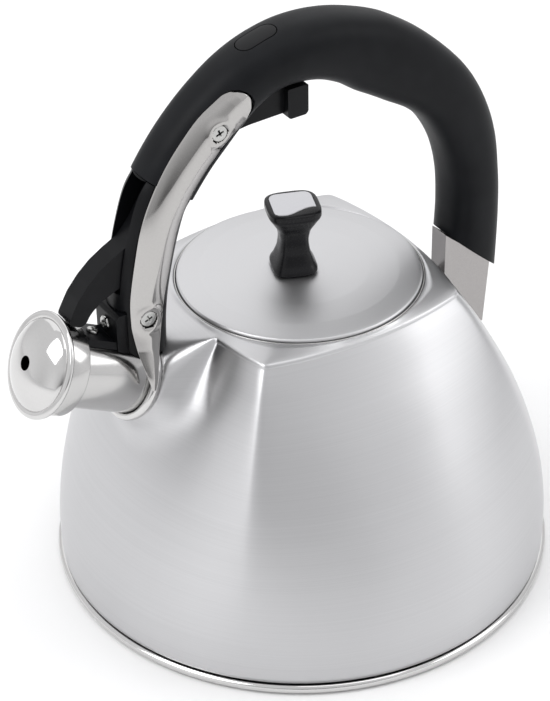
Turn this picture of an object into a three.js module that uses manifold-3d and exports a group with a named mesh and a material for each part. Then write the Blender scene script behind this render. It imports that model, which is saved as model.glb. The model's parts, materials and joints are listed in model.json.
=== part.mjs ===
// Stovetop whistling kettle, in millimetres, +Z up.
// Origin: centre of the base, on the surface that the kettle stands on.
// The spout points along -X, the rear bracket stands at +X, and Y runs across the kettle.
import * as THREE from 'three';
import { mergeVertices } from 'three/addons/utils/BufferGeometryUtils.js';
import { ConvexGeometry } from 'three/addons/geometries/ConvexGeometry.js';
import Module from 'manifold-3d';

const wasm = await Module();
wasm.setup();

// ---------------------------------------------------------------- driving dimensions
const GAP = 0.3;                       // clearance between pieces that touch
const FINE = 40;                       // sides of the large round pieces
const MEDIUM = 28;                     // sides of the spout, collar and cap
const SMALL = 14;                      // sides of screws and pins

// Body: [height, radius at the four corners, radius at the middle of the four sides]
const WALL = [
  [5.8, 108.3, 108.3],
  [14, 108.5, 108.4],
  [28, 108.0, 107.2],
  [44, 106.3, 103.6],
  [62, 102.6, 97.4],
  [80, 97.2, 89.6],
  [96, 90.8, 80.8],
  [111, 83.4, 71.6],
  [122, 77.2, 64.0],
  [130, 71.8, 58.4],
  [134.8, 67.8, 54.9],
];
const WALL_SIDES = 48;
const WALL_SHEET = 0.9;
const CREASE_SOFT = 6;                 // degrees over which a corner is rounded at the foot
const CREASE_CRISP = 1.6;              // and at the shoulder
const SHOULDER_Z = 136.6;
const SHOULDER_INSET = 1.6;
const TOP_Z = 138.0;
const OPENING_RADIUS = 52.9;

// Spout: its axis lies in the XZ plane and rises towards -X
const SPOUT_RISE = THREE.MathUtils.degToRad(28);
const MOUTH = new THREE.Vector3(-121.7, 0, 138.5);   // centre of the cap's rim
const TUBE_RADIUS = 15.5;
const TUBE_SHEET = 0.8;
const TUBE_START = 4;                  // distances along the axis, from MOUTH into the body
const TUBE_END = 53;
const NOSE_START = 47.3;
const NOSE_RADIUS = 17.1;
const NOSE_FLARE_RADIUS = 28;
const NOSE_FLARE_AT = 62;
const NOSE_TOP_HALF = 20;              // half width of the nose where it meets the shoulder
const COLLAR_START = 42.6;
const COLLAR_END = 47.0;
const COLLAR_RADIUS = 18.6;

// Handle and lever: both lie in the XZ plane
const PIVOT = [-44, 224];
const LOWER_PIN = [-79.4, 151.5];
const LEVER_HALF = 4.8;                // half width of the lever
const SLOT_HALF = 5.3;                 // half width of the slot that it runs in
const BARREL_RADIUS = 3;
const ARM_FACE = 10.5;                 // distance of the arms' inner edges from the XZ plane
const ARM_SHEET = 1.0;
const ARM_TOP_CUT = [[-40.7, 246.8], [-20.7, 226.8], [-10, 240], [-30, 260]];   // trims its top end square
const ARM_ROOM = 0.4;                  // clearance round the arms, where they lie in the grip and leg
const ARM_CROWN = 2.2;                 // how far the arms bulge outwards
const CAP_RADIUS = 21.8;
const SKIRT_RADIUS = 19.5;
const SKIRT_END = 10;
const RIVET_AT = 5.6;                  // distance of the cap's rivet along the spout axis
const RIVET_RADIUS = 1.2;
const BUTTON_AT = [-19, 252.6];
const BUTTON_TILT = THREE.MathUtils.degToRad(17);
const BUTTON_LENGTH = 17.6;
const BUTTON_WIDTH = 9.4;
const BUTTON_DEPTH = 3.6;
const BUTTON_TRAVEL = 5.2;
const STEM_HALF = 3.2;
const STEM_REACH = 22.3;               // from the button's middle down to the lever
const HEAD_RADIUS = 3.7;               // arm screws
const HEAD_FACE = 12.9;                // distance of their faces from the XZ plane
const BARREL_END = 10.2;
const SCREW_BORE = 1.5 + GAP;

// Saddle, rear bracket and their screws
const LEG_SCREW = [-92.4, 147.6];
const SADDLE_SEAT = [[-110, 125], [-110, 154.4], [-86.4, 154.4], [-86.4, 125]];
const FOOT_SCREW_AT = 17.4;            // along the spout's axis
const FOOT_TOP = 17.1;                 // above the spout's axis
const REAR_SCREW_Z = 134;
const BRACKET_HALF = 5;
const BRACKET_SHEET = 1.2;

// Base and lid
const BEAD_RADIUS = 110;
const LID_RADIUS = 51.6;
const KNOB_AT = -2.8;                  // the knob stands a little towards the spout
const KNOB_TURN = THREE.MathUtils.degToRad(-21);
const KNOB_BORE = 2.3;
// [height, half length, half depth]
const KNOB = [
  [142.5, 8.7, 9.6], [143.6, 9.4, 10.4], [147.0, 8.0, 8.6], [151.5, 6.5, 7.0], [156.5, 6.0, 6.4],
  [161.5, 6.8, 7.2], [166.0, 9.2, 9.4], [169.8, 11.2, 11.0], [171.6, 11.1, 10.9], [172.2, 10.3, 10.1],
];
const INLAY_Z = 171.4;

// Handle stations: [x, z, half thickness in the XZ plane, half width across it]
const GRIP = [
  [86.2, 104, 12.4, 13.6],
  [86.6, 124, 12.4, 13.9],
  [87.0, 143, 11.9, 14.1],
  [86.0, 160, 11.8, 14.3],
  [82.6, 178, 12.8, 14.4],
  [77.2, 191.5, 13.6, 14.5],
  [69.6, 203.6, 14.3, 14.5],
  [60.0, 213.4, 15.0, 14.5],
  [47.8, 222.6, 16.2, 14.5],
  [35.0, 230.8, 16.4, 14.5],
  [22.0, 237.7, 14.9, 14.5],
  [9.0, 242.0, 13.5, 14.4],
  [-4.5, 243.4, 12.3, 14.3],
  [-17.5, 241.6, 11.4, 13.9],
  [-28.5, 236.8, 11.9, 13.3],
  [-38.3, 229.6, 12.7, 13.0],
  [-46.5, 222.1, 13.3, 12.7],
  [-53.6, 214.8, 13.4, 12.4],
  [-59.6, 207.4, 13.4, 12.2],
  [-63.3, 202.3, 13.3, 12.1],
];
const LEG = [
  [-63.6, 201.9, 12.2, 11.8],
  [-66.9, 197.2, 12.3, 11.7],
  [-70.9, 186.2, 12.3, 11.4],
  [-74.5, 172.1, 12.3, 10.9],
  [-76.9, 158.0, 12.0, 10.2],
  [-78.0, 146.0, 11.8, 9.9],
  [-78.4, 128.0, 11.6, 9.9],
];
// Side arm stations: [x, z, half width, distance of the edges from the XZ plane, and how far
// the front edge is rolled in from there]
const ARM = [
  [-30.4, 237.1, 1.3, 10.9, 0.8],
  [-31.1, 236.4, 4.3, 10.9, 1.6],
  [-33.1, 234.6, 6.9, 10.7, 2.2],
  [-36.2, 232.1, 8.1, ARM_FACE, 2.3],
  [-45.3, 225.3, 8.5, ARM_FACE, 2.3],
  [-52.7, 218.1, 8.4, ARM_FACE, 2.3],
  [-59.2, 210.6, 8.2, ARM_FACE, 2.3],
  [-65.1, 201.9, 8.0, ARM_FACE, 2.3],
  [-70.9, 189.7, 7.8, ARM_FACE, 2.3],
  [-75.6, 171.8, 7.5, ARM_FACE, 2.2],
  [-78.4, 158.9, 7.3, ARM_FACE, 1.6],
  [-79.8, 148.0, 6.7, 10.9, 0.6],
  [-81.0, 138.5, 5.0, 13.4, 0],
  [-81.8, 130.5, 3.1, 16.8, 0],
  [-82.3, 125.4, 1.7, 18.7, 0],
  [-82.6, 122.2, 0.8, 19.2, 0],
];

// ---------------------------------------------------------------- materials
const steel = (roughness, tint = 0xc9cacb) =>
  new THREE.MeshStandardMaterial({ color: tint, roughness, metalness: 1 });
const plastic = (tint, roughness) =>
  new THREE.MeshStandardMaterial({ color: tint, roughness, metalness: 0 });
const BRUSHED = steel(0.38);
const POLISHED = steel(0.12, 0xd8d8d6);
const SATIN = steel(0.25, 0xcfcfcd);
const ALUMINIUM = steel(0.5, 0xbfc1c4);
const SCREW = steel(0.3, 0xb4b4b2);
const SOFT_BLACK = plastic(0x1b1c1e, 0.6);
const HARD_BLACK = plastic(0x141416, 0.42);
const SILICONE = plastic(0x6e7072, 0.7);

// ---------------------------------------------------------------- mesh helpers
const kettle = new THREE.Group();
const spoutFrame = new THREE.Group();
spoutFrame.position.copy(MOUTH);
spoutFrame.rotation.y = -(Math.PI / 2 - SPOUT_RISE);
const lidFrame = new THREE.Group();
kettle.add(spoutFrame, lidFrame);

// Merges shared vertices and drops triangles that have no area.
function weld(geometry) {
  const bare = geometry.clone();
  for (const name of Object.keys(bare.attributes)) if (name !== 'position') bare.deleteAttribute(name);
  const merged = mergeVertices(bare, 1e-4);
  const index = [];
  const old = merged.index.array;
  for (let i = 0; i < old.length; i += 3) {
    const [a, b, c] = [old[i], old[i + 1], old[i + 2]];
    if (a !== b && b !== c && c !== a) index.push(a, b, c);
  }
  merged.setIndex(index);
  if (signedVolume(merged) < 0) merged.setIndex(index.reverse());
  return merged;
}

function signedVolume(geometry) {
  const at = geometry.attributes.position;
  const index = geometry.index.array;
  const [a, b, c] = [new THREE.Vector3(), new THREE.Vector3(), new THREE.Vector3()];
  let sum = 0;
  for (let i = 0; i < index.length; i += 3) {
    a.fromBufferAttribute(at, index[i]);
    b.fromBufferAttribute(at, index[i + 1]);
    c.fromBufferAttribute(at, index[i + 2]);
    sum += a.dot(b.cross(c));
  }
  return sum / 6;
}

function solid(geometry) {
  const welded = weld(geometry);
  return new wasm.Manifold(new wasm.Mesh({
    numProp: 3,
    vertProperties: new Float32Array(welded.attributes.position.array),
    triVerts: new Uint32Array(welded.index.array),
  }));
}

function geometryOf(manifold) {
  const mesh = manifold.getMesh();
  const geometry = new THREE.BufferGeometry();
  geometry.setAttribute('position', new THREE.BufferAttribute(new Float32Array(mesh.vertProperties), 3));
  geometry.setIndex([...mesh.triVerts]);
  return geometry;
}

// The largest body of a cut solid: cuts that graze a surface can leave loose splinters.
function largest(manifold) {
  return manifold.decompose().reduce((best, body) => (body.volume() > best.volume() ? body : best));
}

function piece(name, shape, material, parent = kettle) {
  const geometry = shape.isBufferGeometry ? weld(shape) : geometryOf(largest(shape));
  geometry.computeVertexNormals();
  const mesh = new THREE.Mesh(geometry, material);
  mesh.name = name;
  parent.add(mesh);
  return mesh;
}

// Turns a closed profile of [radius, height] round the Z axis.
function turned(profile, sides) {
  const points = [...profile, profile[0]].map(([r, z]) => new THREE.Vector2(r, z));
  return new THREE.LatheGeometry(points, sides).rotateX(Math.PI / 2);
}

// A flat outline of [x, z] points, thickened equally to both sides of the XZ plane.
function plate(outline, halfWidth) {
  const shape = new THREE.Shape(outline.map(([x, z]) => new THREE.Vector2(x, z)));
  const geometry = new THREE.ExtrudeGeometry(shape, { depth: 2 * halfWidth, bevelEnabled: false });
  return geometry.rotateX(Math.PI / 2).translate(0, halfWidth, 0);
}

// Joins rings of equal length with quads and closes both ends with fans.
function loft(rings) {
  const count = rings[0].length;
  const points = rings.flat();
  const index = [];
  for (let i = 0; i + 1 < rings.length; i += 1) {
    for (let j = 0; j < count; j += 1) {
      const [a, b] = [i * count + j, i * count + ((j + 1) % count)];
      index.push(a, b, b + count, a, b + count, a + count);
    }
  }
  [0, rings.length - 1].forEach((ring, end) => {
    const centre = new THREE.Vector3();
    rings[ring].forEach((p) => centre.add(p));
    points.push(centre.divideScalar(count));
    for (let j = 0; j < count; j += 1) {
      const [a, b] = [ring * count + j, ring * count + ((j + 1) % count)];
      index.push(points.length - 1, ...(end === 0 ? [b, a] : [a, b]));
    }
  });
  const geometry = new THREE.BufferGeometry().setFromPoints(points);
  geometry.setIndex(index);
  return geometry;
}

// A cylinder of the given radius between two points.
function rod(from, to, radius, sides = SMALL) {
  const [a, b] = [new THREE.Vector3(...from), new THREE.Vector3(...to)];
  const along = b.clone().sub(a);
  const geometry = new THREE.CylinderGeometry(radius, radius, along.length(), sides);
  const turn = new THREE.Quaternion().setFromUnitVectors(new THREE.Vector3(0, 1, 0), along.normalize());
  return geometry.applyQuaternion(turn).translate(...a.add(b).multiplyScalar(0.5).toArray());
}

// A hole across the XZ plane at [x, z], with clearance round the given radius.
function acrossHole([x, z], from, to, radius) {
  return solid(rod([x, from, z], [x, to, z], radius + GAP));
}

// A smooth curve through [x, z, ...sizes] stations; returns samples with the outward normal.
function stationsAlong(table, steps) {
  const path = new THREE.CatmullRomCurve3(table.map(([x, z]) => new THREE.Vector3(x, 0, z)));
  const sizes = new THREE.CatmullRomCurve3(table.map(([, , a, b, c = 0]) => new THREE.Vector3(a, b, c)));
  const samples = [];
  for (let i = 0; i <= steps; i += 1) {
    const at = i / steps;
    const tangent = path.getTangent(at);
    const size = sizes.getPoint(at);
    samples.push({
      point: path.getPoint(at),
      normal: new THREE.Vector3(tangent.z, 0, -tangent.x).normalize(),
      a: size.x,
      b: size.y,
      c: size.z,
    });
  }
  return samples;
}

// A bar of rounded, slightly square section along the stations.
function roundedBar(table, steps, sides = 20) {
  const power = 2 / 2.5;
  const rings = stationsAlong(table, steps).map(({ point, normal, a, b }) => {
    const ring = [];
    for (let j = 0; j < sides; j += 1) {
      const angle = (2 * Math.PI * j) / sides;
      const out = a * Math.sign(Math.cos(angle)) * Math.abs(Math.cos(angle)) ** power;
      const across = b * Math.sign(Math.sin(angle)) * Math.abs(Math.sin(angle)) ** power;
      ring.push(point.clone().addScaledVector(normal, out).add(new THREE.Vector3(0, across, 0)));
    }
    return ring;
  });
  return loft(rings);
}

// ---------------------------------------------------------------- body wall
const lerp = THREE.MathUtils.lerp;
const rad = THREE.MathUtils.degToRad;

// Radius of a bulging square, each side an arc from corner to corner.
function sideRadius(fromMiddle, corner, middle) {
  if (corner - middle < 0.01) return corner;
  const back = (corner ** 2 - middle ** 2) / (2 * middle - Math.SQRT2 * corner);
  const reach = middle + back;
  return Math.sqrt(reach ** 2 - (back * Math.sin(fromMiddle)) ** 2) - back * Math.cos(fromMiddle);
}

function wallRadius(angle, corner, middle, height) {
  const quarter = Math.PI / 2;
  const fromMiddle = Math.abs(((angle + quarter / 2 + 8 * quarter) % quarter) - quarter / 2);
  const fromCorner = quarter / 2 - fromMiddle;
  const up = THREE.MathUtils.clamp(height / SHOULDER_Z, 0, 1);
  const soft = rad(lerp(CREASE_SOFT, CREASE_CRISP, up));
  const eased = Math.max(0, quarter / 2 - Math.hypot(fromCorner, soft));
  return sideRadius(eased, corner, middle);
}

function wallRing(corner, middle, height, inset) {
  const ring = [];
  for (let j = 0; j < WALL_SIDES; j += 1) {
    const angle = (2 * Math.PI * j) / WALL_SIDES;
    const r = wallRadius(angle, corner, middle, height) - inset;
    ring.push(new THREE.Vector3(r * Math.cos(angle), r * Math.sin(angle), height));
  }
  return ring;
}

function roundRing(radius, height) {
  const ring = [];
  for (let j = 0; j < WALL_SIDES; j += 1) {
    const angle = (2 * Math.PI * j) / WALL_SIDES;
    ring.push(new THREE.Vector3(radius * Math.cos(angle), radius * Math.sin(angle), height));
  }
  return ring;
}

function bodyForm(inset) {
  const rings = WALL.map(([z, corner, middle]) => wallRing(corner, middle, z, inset));
  const [, corner, middle] = WALL[WALL.length - 1];
  rings.push(wallRing(corner, middle, SHOULDER_Z - inset, inset + SHOULDER_INSET));
  rings.push(roundRing(OPENING_RADIUS - 3, TOP_Z - inset));
  return rings;
}

// A point at a distance along the spout axis, then out from it: up the spout's own top, and across.
function spoutPoint(distance, up, across) {
  const [c, s] = [Math.cos(SPOUT_RISE), Math.sin(SPOUT_RISE)];
  return new THREE.Vector3(MOUTH.x + distance * c + up * s, across, MOUTH.z - distance * s + up * c);
}

// The nose pressed out of the wall to carry the spout.
function noseForm(inset) {
  const points = [];
  for (let j = 0; j < MEDIUM; j += 1) {
    const angle = (2 * Math.PI * j) / MEDIUM;
    const [up, across] = [Math.cos(angle), Math.sin(angle)];
    const near = NOSE_RADIUS - inset;
    points.push(spoutPoint(NOSE_START - Math.abs(inset), near * up, near * across));
    const far = NOSE_FLARE_RADIUS - inset;
    if (up < 0.35) points.push(spoutPoint(NOSE_FLARE_AT, far * up, far * across));
  }
  const [, , middle] = WALL[WALL.length - 1];
  for (const side of [-1, 1]) {
    const y = side * (NOSE_TOP_HALF - inset);
    points.push(new THREE.Vector3(-(middle - SHOULDER_INSET) + inset, y, SHOULDER_Z - inset));
    points.push(new THREE.Vector3(-30, y, SHOULDER_Z - 4));
  }
  return new ConvexGeometry(points);
}

const bodyOuter = solid(loft(bodyForm(0))).add(solid(noseForm(0)));

function bodyShell() {
  const inner = solid(loft([
    wallRing(WALL[0][1], WALL[0][2], 0, WALL_SHEET),
    ...bodyForm(WALL_SHEET),
  ])).add(solid(noseForm(WALL_SHEET)));
  const opening = solid(rod([0, 0, TOP_Z - 10], [0, 0, TOP_Z + 10], OPENING_RADIUS, WALL_SIDES));
  const bore = TUBE_RADIUS + GAP;
  const spoutHole = solid(rod(
    spoutPoint(NOSE_START - 5, 0, 0).toArray(), spoutPoint(NOSE_FLARE_AT + 6, 0, 0).toArray(), bore, MEDIUM));
  return bodyOuter.subtract(inner).subtract(opening).subtract(spoutHole);
}
piece('body_shell', bodyShell(), BRUSHED);

// ---------------------------------------------------------------- base
piece('base_pan', turned([
  [0, 4.5], [105.2, 4.5], [105.2, 1.6], [106.2, 0.7], [108.6, 0.7], [109.7, 1.6], [BEAD_RADIUS, 3.0],
  [109.6, 4.4], [108.4, 5.2], [107.0, 5.3], [0, 5.3],
], FINE), POLISHED);
piece('base_core', turned([[0, 1.0], [95.6, 1.0], [96.4, 1.8], [96.4, 4.2], [0, 4.2]], FINE), ALUMINIUM);
piece('base_capsule', turned([
  [0, 0], [96.2, 0], [97.4, 1.2], [97.4, 4.2], [96.7, 4.2], [96.7, 1.5], [95.9, 0.7], [0, 0.7],
], FINE), BRUSHED);
piece('filler_neck', turned([
  [52.6, 137.8], [52.6, 135.4], [49.2, 135.4], [49.2, 128.5],
  [48.6, 128.5], [48.6, 136.0], [52.0, 136.0], [52.0, 137.8],
], FINE), SATIN);

// ---------------------------------------------------------------- spout and collar
const alongSpout = (profile) => profile.map(([r, distance]) => [r, -distance]);
piece('spout_tube', turned(alongSpout([
  [TUBE_RADIUS - TUBE_SHEET, TUBE_START + 0.6], [TUBE_RADIUS - 0.5, TUBE_START],
  [TUBE_RADIUS, TUBE_START + 0.5], [TUBE_RADIUS, TUBE_END],
  [TUBE_RADIUS - TUBE_SHEET, TUBE_END],
]), MEDIUM), SATIN, spoutFrame);
const collarProfile = [
  [TUBE_RADIUS + GAP, COLLAR_START + 0.6], [17.0, COLLAR_START], [18.2, COLLAR_START + 0.9],
  [COLLAR_RADIUS, COLLAR_START + 2.2], [18.2, COLLAR_END - 0.8], [17.2, COLLAR_END],
  [TUBE_RADIUS + GAP, COLLAR_END],
];
piece('spout_collar', turned(alongSpout(collarProfile), MEDIUM), POLISHED, spoutFrame);

// ---------------------------------------------------------------- side arms
function armForm(side, grow, inner, outer) {
  const across = 3;
  const rings = stationsAlong(ARM, 22).map(({ point, normal, a, b, c }) => {
    const at = (k, depth) => {
      const share = k / across;
      const rolled = c * Math.max(0, share) ** 2;
      const out = b + ARM_CROWN * (1 - share * share) * Math.min(1, a / 8) - rolled + depth;
      const middle = point.clone().addScaledVector(normal, (a + grow) * share);
      return middle.setY(side * out);
    };
    const ring = [];
    for (let k = -across; k <= across; k += 1) ring.push(at(k, outer));
    for (let k = across; k >= -across; k -= 1) ring.push(at(k, inner));
    return ring;
  });
  return solid(loft(rings));
}

function sideArm(side) {
  let arm = armForm(side, 0, 0, ARM_SHEET).subtract(solid(plate(ARM_TOP_CUT, 30)));
  for (const [x, z] of [PIVOT, LOWER_PIN]) {
    arm = arm.subtract(acrossHole([x, z], 0, side * 22, HEAD_RADIUS));
  }
  return arm;
}
piece('side_arm_near', sideArm(-1), POLISHED);
piece('side_arm_far', sideArm(1), POLISHED);

// ---------------------------------------------------------------- screws and barrels
// A countersunk screw along -Z from its head's face at the origin.
function countersunkScrew(headRadius, headDepth, shankRadius, length) {
  return turned([
    [0, 0], [headRadius - 0.4, 0], [headRadius, -0.5], [shankRadius, -headDepth],
    [shankRadius, -length + 0.6], [shankRadius - 0.5, -length], [0, -length],
  ], SMALL);
}
for (const [level, [x, z]] of [['upper', PIVOT], ['lower', LOWER_PIN]]) {
  for (const [name, side] of [['near', -1], ['far', 1]]) {
    const screw = piece(`arm_screw_${level}_${name}`, countersunkScrew(HEAD_RADIUS, 2.4, 1.5, 8.6), SCREW);
    screw.position.set(x, side * HEAD_FACE, z);
    screw.rotation.x = -side * (Math.PI / 2);
  }
}
function barrel() {
  return turned([
    [SCREW_BORE, -BARREL_END], [BARREL_RADIUS, -BARREL_END], [BARREL_RADIUS, BARREL_END],
    [SCREW_BORE, BARREL_END],
  ], SMALL);
}
for (const [name, [x, z]] of [['pivot_barrel', PIVOT], ['lower_barrel', LOWER_PIN]]) {
  const pin = piece(name, barrel(), SCREW);
  pin.position.set(x, 0, z);
  pin.rotation.x = Math.PI / 2;
}

// ---------------------------------------------------------------- lever
const LEVER = [
  [0, 230.2], [-21, 230.2], [-33, 231.0], [-44, 231.4], [-51.2, 227.4], [-56.4, 219.0], [-62.4, 210.4],
  [-69.8, 199.6], [-77.0, 188.6], [-82.6, 182.6], [-89.0, 179.4], [-95.0, 175.8], [-100.4, 171.2],
  [-105.6, 165.2], [-109.2, 158.8], [-110.7, 155.7], [-104.0, 151.9], [-100.8, 157.2], [-95.6, 161.2],
  [-88.0, 164.4], [-80.4, 167.6], [-76.6, 174.4], [-71.6, 185.2], [-64.4, 197.2], [-56.4, 206.8],
  [-50.2, 214.0], [-44, 216.8], [-35.5, 217.2], [-26.0, 218.4], [-9.6, 218.8], [0, 217.8],
];
const THUMB_END = [[0, 230.2], [-9.6, 230.2], [-9.6, 218.0], [-8.4, 217.0], [-1.2, 217.0], [0, 218.2]];
const SLOT = [
  [6, 230.6], [-18, 230.7], [-30, 232.6], [-44, 232.9], [-54.0, 229.6], [-61.6, 220.4], [-68.9, 211.4],
  [-73.6, 208.0], [-84, 210], [-100, 200], [-100, 158.6], [-90, 160.8], [-79.6, 165.2], [-75.2, 172.8],
  [-70.0, 183.6], [-62.8, 195.8], [-54.8, 205.2], [-48.4, 211.6], [-43, 205], [-6, 198], [6, 210],
];
const SPRING_POCKET = [[-52.5, 224], [-44, 224], [-44, 226.4], [-31.5, 226.4], [-31.5, 234], [-52.5, 234]];

function whistleLever() {
  const spring = (shape) => solid(shape.translate(0, 4.2, 0));
  return solid(plate(LEVER, LEVER_HALF))
    .add(solid(plate(THUMB_END, 8)))
    .subtract(acrossHole(PIVOT, -20, 20, BARREL_RADIUS))
    .subtract(acrossHole(PIVOT, 1.4, 7, 5.5))
    .subtract(spring(plate(SPRING_POCKET, 2.8)))
    .subtract(solid(rod(
      spoutPoint(RIVET_AT, 17, 0).toArray(), spoutPoint(RIVET_AT, 24, 0).toArray(), RIVET_RADIUS + GAP)));
}
piece('whistle_lever', whistleLever(), HARD_BLACK);

// Torsion spring round the pivot: one leg under the slot's roof, one against the lever.
function leverSpring() {
  const [coil, wire, turns] = [4.5, 0.45, 2.25];
  const [first, last] = [2.2, 4.3];
  const points = [new THREE.Vector3(PIVOT[0] - coil, first, PIVOT[1] + 6)];
  const steps = 30;
  for (let i = 0; i <= steps; i += 1) {
    const angle = Math.PI - (2 * Math.PI * turns * i) / steps;
    points.push(new THREE.Vector3(
      PIVOT[0] + coil * Math.cos(angle), lerp(first, last, i / steps), PIVOT[1] + coil * Math.sin(angle)));
  }
  const end = points[points.length - 1];
  points.push(new THREE.Vector3(end.x + 6, last, end.z - 0.4));
  points.push(new THREE.Vector3(end.x + 11, last, end.z - 1));
  const path = new THREE.CatmullRomCurve3(points);
  const section = new THREE.Shape().absarc(0, 0, wire, 0, 2 * Math.PI);
  return new THREE.ExtrudeGeometry(section, { steps: 48, curveSegments: 3, extrudePath: path });
}

// ---------------------------------------------------------------- handle
const GRIP_FOOT_OUTER = [102, 107.4];  // the grip's rear end is cut along this slant
const GRIP_FOOT_INNER = [70, 135.8];
const TONGUE = [[79.5, 104], [79.5, 152], [94.5, 152], [94.5, 104]];
const gripForm = solid(roundedBar(GRIP, 36, 18));

function buttonFrame(shape) {
  return shape.rotateY(-BUTTON_TILT).translate(BUTTON_AT[0], 0, BUTTON_AT[1]);
}

// A rounded rectangle prism standing on the button's axis, from height low to high.
function buttonPrism(length, width, low, high) {
  const corner = 4;
  const [x, y] = [length / 2, width / 2];
  const shape = new THREE.Shape();
  shape.moveTo(-x + corner, -y);
  shape.lineTo(x - corner, -y);
  shape.absarc(x - corner, -y + corner, corner, -Math.PI / 2, 0);
  shape.lineTo(x, y - corner);
  shape.absarc(x - corner, y - corner, corner, 0, Math.PI / 2);
  shape.lineTo(-x + corner, y);
  shape.absarc(-x + corner, y - corner, corner, Math.PI / 2, Math.PI);
  shape.lineTo(-x, -y + corner);
  shape.absarc(-x + corner, -y + corner, corner, Math.PI, 1.5 * Math.PI);
  const options = { depth: high - low, bevelEnabled: false, curveSegments: 3 };
  return buttonFrame(new THREE.ExtrudeGeometry(shape, options).translate(0, 0, low));
}

function stemBox(half, low, high) {
  const box = new THREE.BoxGeometry(2 * half, 2 * half, high - low);
  return buttonFrame(box.translate(0, 0, (low + high) / 2));
}

function handleGrip() {
  const below = solid(plate([GRIP_FOOT_INNER, GRIP_FOOT_OUTER, [102, 90], [60, 90], [60, 135.8]], 20));
  const socket = solid(plate(TONGUE, 5.4 + GAP));
  const pocket = solid(buttonPrism(BUTTON_LENGTH + 0.8, BUTTON_WIDTH + 0.8,
    -BUTTON_DEPTH - BUTTON_TRAVEL - 0.8, 8));
  return gripForm.subtract(below).subtract(socket)
    .subtract(armForm(-1, ARM_ROOM, -ARM_ROOM, 5))
    .subtract(armForm(1, ARM_ROOM, -ARM_ROOM, 5))
    .subtract(solid(plate(SLOT, SLOT_HALF)))
    .subtract(pocket)
    .subtract(solid(stemBox(STEM_HALF + GAP, -30, 0)))
    .subtract(acrossHole(PIVOT, -20, 20, BARREL_RADIUS))
    .subtract(acrossHole(PIVOT, -20, -BARREL_END, HEAD_RADIUS))
    .subtract(acrossHole(PIVOT, BARREL_END, 20, HEAD_RADIUS))
    .subtract(solid(rod([90, 0, REAR_SCREW_Z], [104, 0, REAR_SCREW_Z], 1.8)))
    .subtract(solid(rod([96.4, 0, REAR_SCREW_Z], [104, 0, REAR_SCREW_Z], 3.9)));
}
piece('handle_grip', handleGrip(), SOFT_BLACK);

function thumbButton() {
  const top = gripForm.intersect(solid(buttonPrism(BUTTON_LENGTH, BUTTON_WIDTH, -BUTTON_DEPTH, 8)));
  return top.add(solid(stemBox(STEM_HALF, -STEM_REACH, -BUTTON_DEPTH + 0.5)));
}
piece('thumb_button', thumbButton(), SOFT_BLACK);

function clearanceTurned(profile, grow) {
  const grown = profile.map(([r, z]) => [r + grow, z]);
  grown.push([0, grown[grown.length - 1][1]], [0, grown[0][1]]);
  return turned(grown, MEDIUM).rotateY(spoutFrame.rotation.y).translate(...MOUTH.toArray());
}

// Everything on the spout that the leg and the saddle stand on, a little enlarged.
function spoutClearance() {
  const tube = clearanceTurned(alongSpout([[TUBE_RADIUS, -10], [TUBE_RADIUS, 70]]), GAP);
  const ring = clearanceTurned(
    alongSpout([[COLLAR_RADIUS, COLLAR_START - GAP], [COLLAR_RADIUS, COLLAR_END + GAP]]), GAP);
  return solid(tube).add(solid(ring)).add(solid(noseForm(-GAP - 0.1)));
}
const spoutRoom = spoutClearance();

function frontLeg() {
  const [screwX, screwZ] = LEG_SCREW;
  return solid(roundedBar(LEG, 14))
    .subtract(solid(plate(SLOT, SLOT_HALF)))
    .subtract(spoutRoom)
    .subtract(armForm(-1, ARM_ROOM, -ARM_ROOM, 5))
    .subtract(armForm(1, ARM_ROOM, -ARM_ROOM, 5))
    .subtract(solid(plate(SADDLE_SEAT, 30)))
    .subtract(acrossHole(LOWER_PIN, -20, 20, BARREL_RADIUS))
    .subtract(solid(rod([screwX - 5, 0, screwZ], [screwX + 10, 0, screwZ], 1.5 + GAP)));
}
piece('front_leg', frontLeg(), HARD_BLACK);

// Saddle: an upright flange against the leg's front and a foot that lies on the spout.
function spoutSaddle() {
  const side = [[-86.8, 130], [-86.8, 154.0], [-90.4, 154.0], [-91.6, 152.4], [-91.6, 130]];
  const upright = solid(plate(side, 8.4));
  const [front, back] = [11, 38];
  const foot = solid(plate([
    spoutPoint(front, 10, 0), spoutPoint(front, FOOT_TOP - 1, 0), spoutPoint(front + 1, FOOT_TOP, 0),
    spoutPoint(back, FOOT_TOP, 0), spoutPoint(back, 10, 0),
  ].map((p) => [p.x, p.z]), 7.6));
  const behind = solid(plate([[-86.8, 120], [-86.8, 160], [-70, 160], [-70, 120]], 20));
  const [screwX, screwZ] = LEG_SCREW;
  const [holeLow, holeHigh] = [15, 24].map((up) => spoutPoint(FOOT_SCREW_AT, up, 0).toArray());
  return upright.add(foot).subtract(behind).subtract(spoutRoom)
    .subtract(solid(rod([screwX - 5, 0, screwZ], [screwX + 9, 0, screwZ], 1.5 + GAP)))
    .subtract(solid(rod(holeLow, holeHigh, 1.8)));
}
piece('spout_saddle', spoutSaddle(), HARD_BLACK);

// A pan-head screw along -Z, its head standing on the origin.
function panScrew(headRadius, headHeight, shankRadius, length) {
  return turned([
    [0, headHeight], [headRadius * 0.6, headHeight], [headRadius, headHeight * 0.45], [headRadius, 0],
    [shankRadius, 0], [shankRadius, -length], [0, -length],
  ], SMALL);
}
const legScrew = piece('leg_screw', panScrew(3.0, 1.6, 1.5, 7), SCREW);
legScrew.position.set(-91.6 - GAP, 0, LEG_SCREW[1]);
legScrew.rotation.y = -Math.PI / 2;
const saddleScrew = piece('saddle_screw', panScrew(2.5, 1.5, 1.5, 1.4), SCREW, spoutFrame);
saddleScrew.position.set(FOOT_TOP + GAP, 0, -FOOT_SCREW_AT);
saddleScrew.rotation.y = Math.PI / 2;

piece('lever_spring', leverSpring(), SCREW);

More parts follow.
